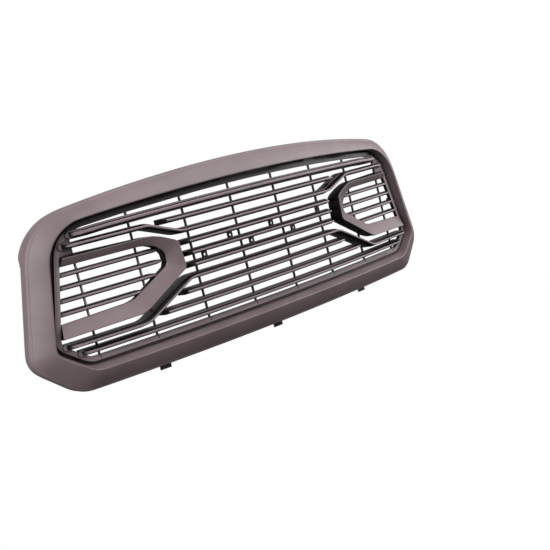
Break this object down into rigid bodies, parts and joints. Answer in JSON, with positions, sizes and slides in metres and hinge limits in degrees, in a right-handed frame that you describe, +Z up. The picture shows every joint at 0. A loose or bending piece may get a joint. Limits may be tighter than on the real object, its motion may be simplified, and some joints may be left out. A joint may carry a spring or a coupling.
{
  "type": "front grille",
  "caption": "Wide bowed vehicle front grille: painted outer shell, black insert with horizontal blades, proud C-shaped side brackets, and top, side and bottom mounting points.",
  "frame": {"origin": "centre of the line of top mounting holes, on the mounting plates' upper face", "axes": "+Z up along the top mounting bolts, +X across the vehicle, -Y towards the front"},
  "size_m": [1.0864, 0.1181, 0.385],
  "materials": {
    "shell_paint": "satin paint",
    "satin_black": "satin",
    "screw_steel": "zinc plated"
  },
  "bodies": {
    "root": {"outer_shell": "shell_paint", "insert_frame": "satin_black", "blade_01": "satin_black", "blade_02": "satin_black", "upper_contour_blade": "satin_black", "blade_04": "satin_black", "blade_05": "satin_black", "blade_06": "satin_black", "lower_contour_blade": "satin_black", "blade_08": "satin_black", "blade_09": "satin_black", "blade_10": "satin_black", "window_blade_left_1": "satin_black", "window_blade_left_2": "satin_black", "window_blade_left_3": "satin_black", "window_blade_left_4": "satin_black", "window_blade_right_1": "satin_black", "window_blade_right_2": "satin_black", "window_blade_right_3": "satin_black", "window_blade_right_4": "satin_black", "rib_1": "satin_black", "rib_2": "satin_black", "rib_3": "satin_black", "rib_4": "satin_black", "rib_5": "satin_black", "rib_6": "satin_black", "rib_7": "satin_black", "rib_8": "satin_black", "c_bracket_left": "shell_paint", "c_bracket_right": "shell_paint", "badge_tabs": "satin_black", "lower_tab_left": "satin_black", "lower_tab_centre": "satin_black", "lower_tab_right": "satin_black", "upper_mount_left": "satin_black", "upper_mount_right": "satin_black", "side_locator_left": "satin_black", "side_locator_right": "satin_black", "insert_screws": "screw_steel", "bracket_screws": "screw_steel"}
  },
  "joints": []
}
